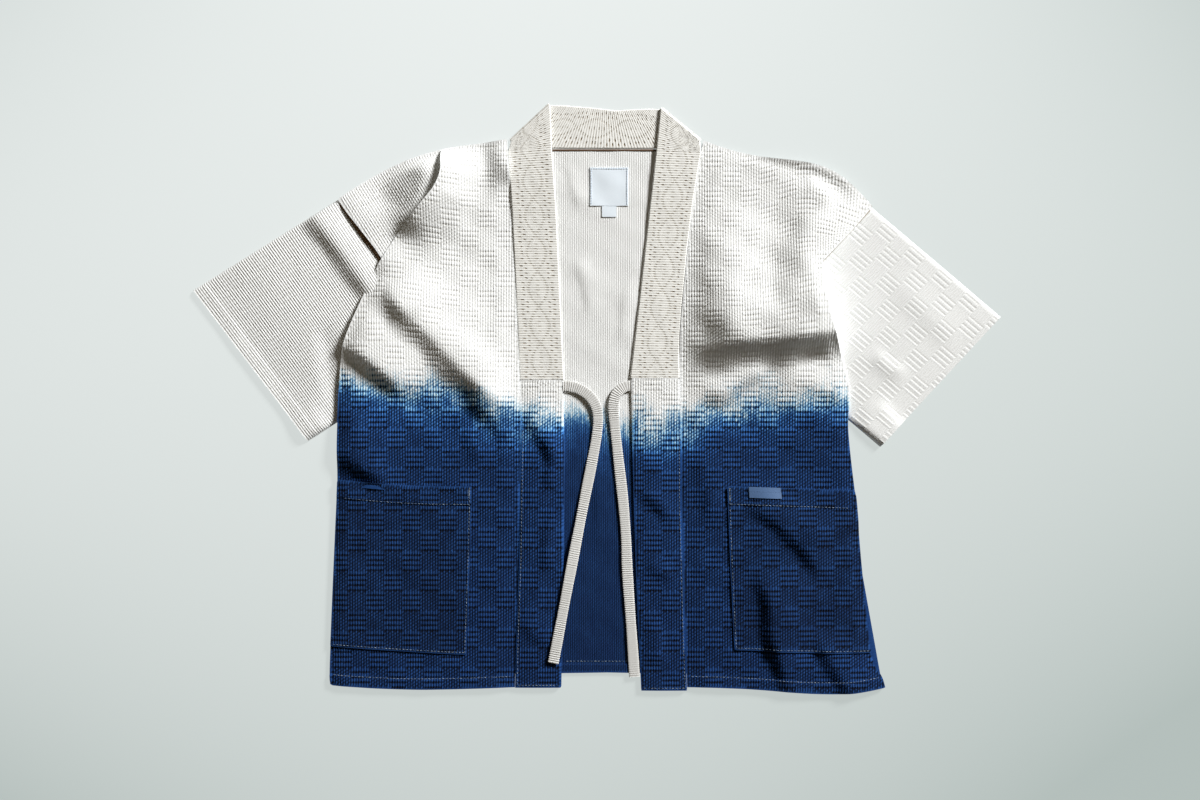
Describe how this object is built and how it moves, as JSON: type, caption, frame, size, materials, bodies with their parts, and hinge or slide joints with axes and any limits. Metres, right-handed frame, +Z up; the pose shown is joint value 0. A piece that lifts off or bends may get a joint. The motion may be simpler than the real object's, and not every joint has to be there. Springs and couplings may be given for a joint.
{
  "type": "noragi jacket",
  "caption": "Short-sleeved work jacket laid flat and open: two fronts over a back, folded collar and bands, tie tapes, patch pockets.",
  "frame": {"origin": "on the surface the jacket lies on, under the middle of its outline", "axes": "+Z up from the surface, +Y from hem to collar, +X along the shoulders to the right sleeve as seen from above"},
  "size_m": [0.9696, 0.7093, 0.0315],
  "materials": {
    "dyed_cloth": "heavy checkered cotton, cream dip-dyed to indigo",
    "cream_cloth": "heavy checkered cotton, undyed",
    "collar_cloth": "cotton with a woven hemp-leaf pattern, undyed",
    "label_tape": "satin-woven tape",
    "tab_tape": "ribbed tape"
  },
  "bodies": {
    "root": {"back": "dyed_cloth", "front_left": "dyed_cloth", "front_right": "dyed_cloth", "sleeve_left": "cream_cloth", "sleeve_right": "cream_cloth", "collar": "collar_cloth", "front_band_left": "dyed_cloth", "front_band_right": "dyed_cloth", "pocket_left": "dyed_cloth", "pocket_right": "dyed_cloth", "pocket_tab": "tab_tape", "tie_left": "cream_cloth", "tie_right": "cream_cloth", "neck_label": "label_tape", "size_tab": "label_tape"}
  },
  "joints": []
}
